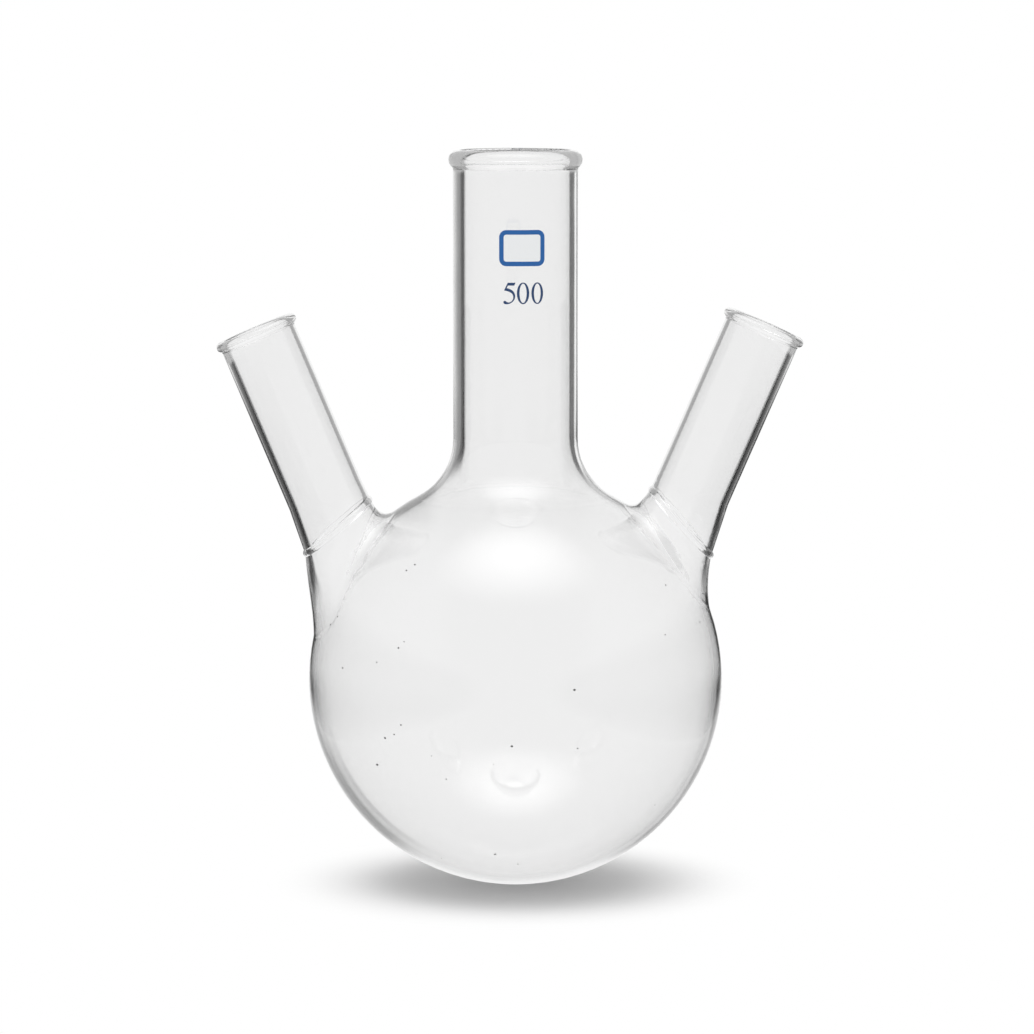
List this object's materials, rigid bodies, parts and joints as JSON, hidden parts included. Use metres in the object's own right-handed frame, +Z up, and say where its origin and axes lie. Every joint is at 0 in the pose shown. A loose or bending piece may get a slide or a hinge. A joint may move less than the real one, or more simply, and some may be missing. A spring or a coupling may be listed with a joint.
{
  "type": "three neck flask",
  "caption": "Round-bottom glass flask with an upright centre neck and two sloping side necks fused to the shoulder, each mouth finished in a rolled bead.",
  "frame": {"origin": "lowest point of the bulb, on the centre neck's axis", "axes": "+Z up along the centre neck's axis, +X towards the right-hand side neck; the three neck axes lie in the XZ plane"},
  "size_m": [0.1482, 0.105, 0.1865],
  "materials": {
    "glass": "clear borosilicate glass, flame polished"
  },
  "bodies": {
    "root": {"flask": "glass"}
  },
  "joints": []
}
